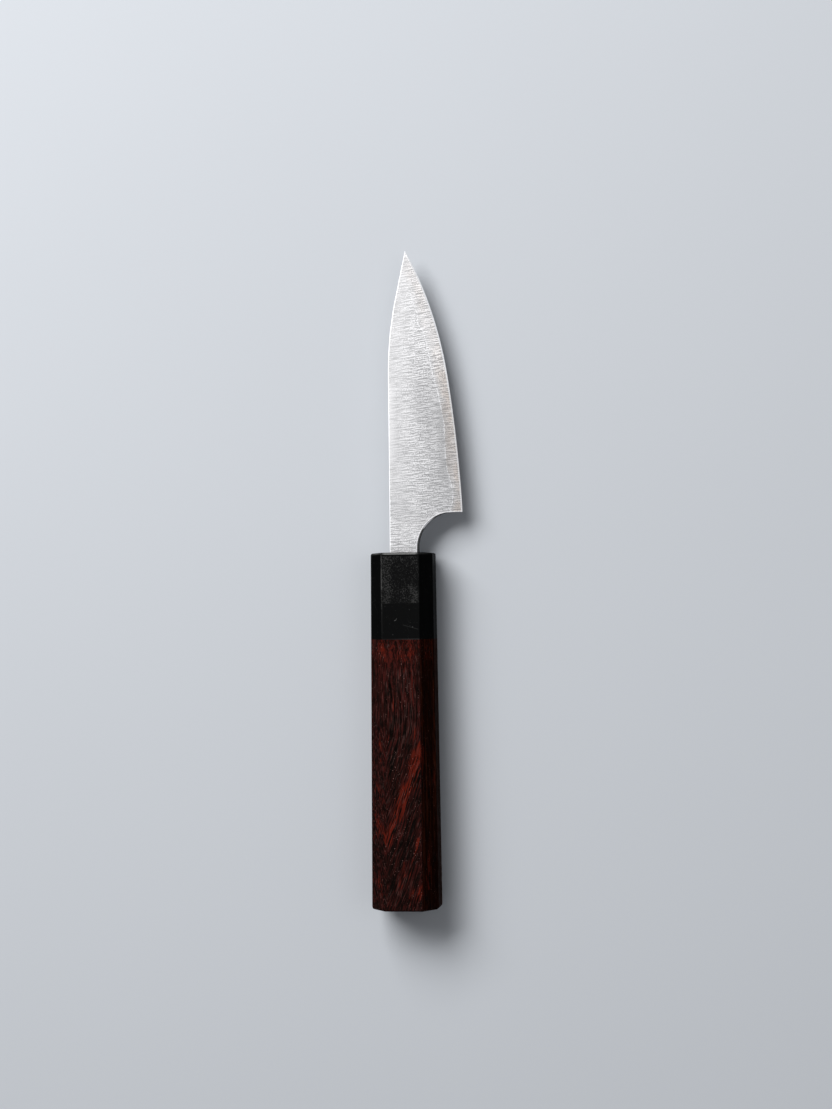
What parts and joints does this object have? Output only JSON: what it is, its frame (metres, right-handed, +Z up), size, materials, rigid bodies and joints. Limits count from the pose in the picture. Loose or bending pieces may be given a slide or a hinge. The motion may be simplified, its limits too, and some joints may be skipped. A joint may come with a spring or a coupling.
{
  "type": "paring knife",
  "caption": "Small laminated paring knife with a finger notch at the heel and a tapered eight-sided dark wooden handle with a black ferrule.",
  "frame": {"origin": "middle of the base of the knife as it lies on its left side: the lower flat of the handle is at z = 0, and x = 0, y = 0 is the middle of the overall length and height", "axes": "+Y from the butt of the handle to the point of the blade, +X from the spine to the cutting edge, +Z up, from the side that lies on the table to the blade's right face"},
  "size_m": [0.0286, 0.2012, 0.0182],
  "materials": {
    "core_steel": "fine satin grind, slightly darker and warmer than the cladding",
    "cladding_steel": "satin, short fine grinding lines across the blade",
    "black_horn": "black, buffed, with a few rub marks",
    "dark_rosewood": "dark red-brown, oiled, open pored",
    "dowel_wood": "plain, unfinished",
    "resin": "set epoxy",
    "dark_sealant": "dark filler, dull"
  },
  "bodies": {
    "root": {"blade_core": "core_steel", "blade_cladding_right": "cladding_steel", "blade_cladding_left": "cladding_steel", "ferrule": "black_horn", "handle_body": "dark_rosewood", "tang_dowel": "dowel_wood", "tang_bedding": "resin", "slot_seal": "dark_sealant"}
  },
  "joints": []
}
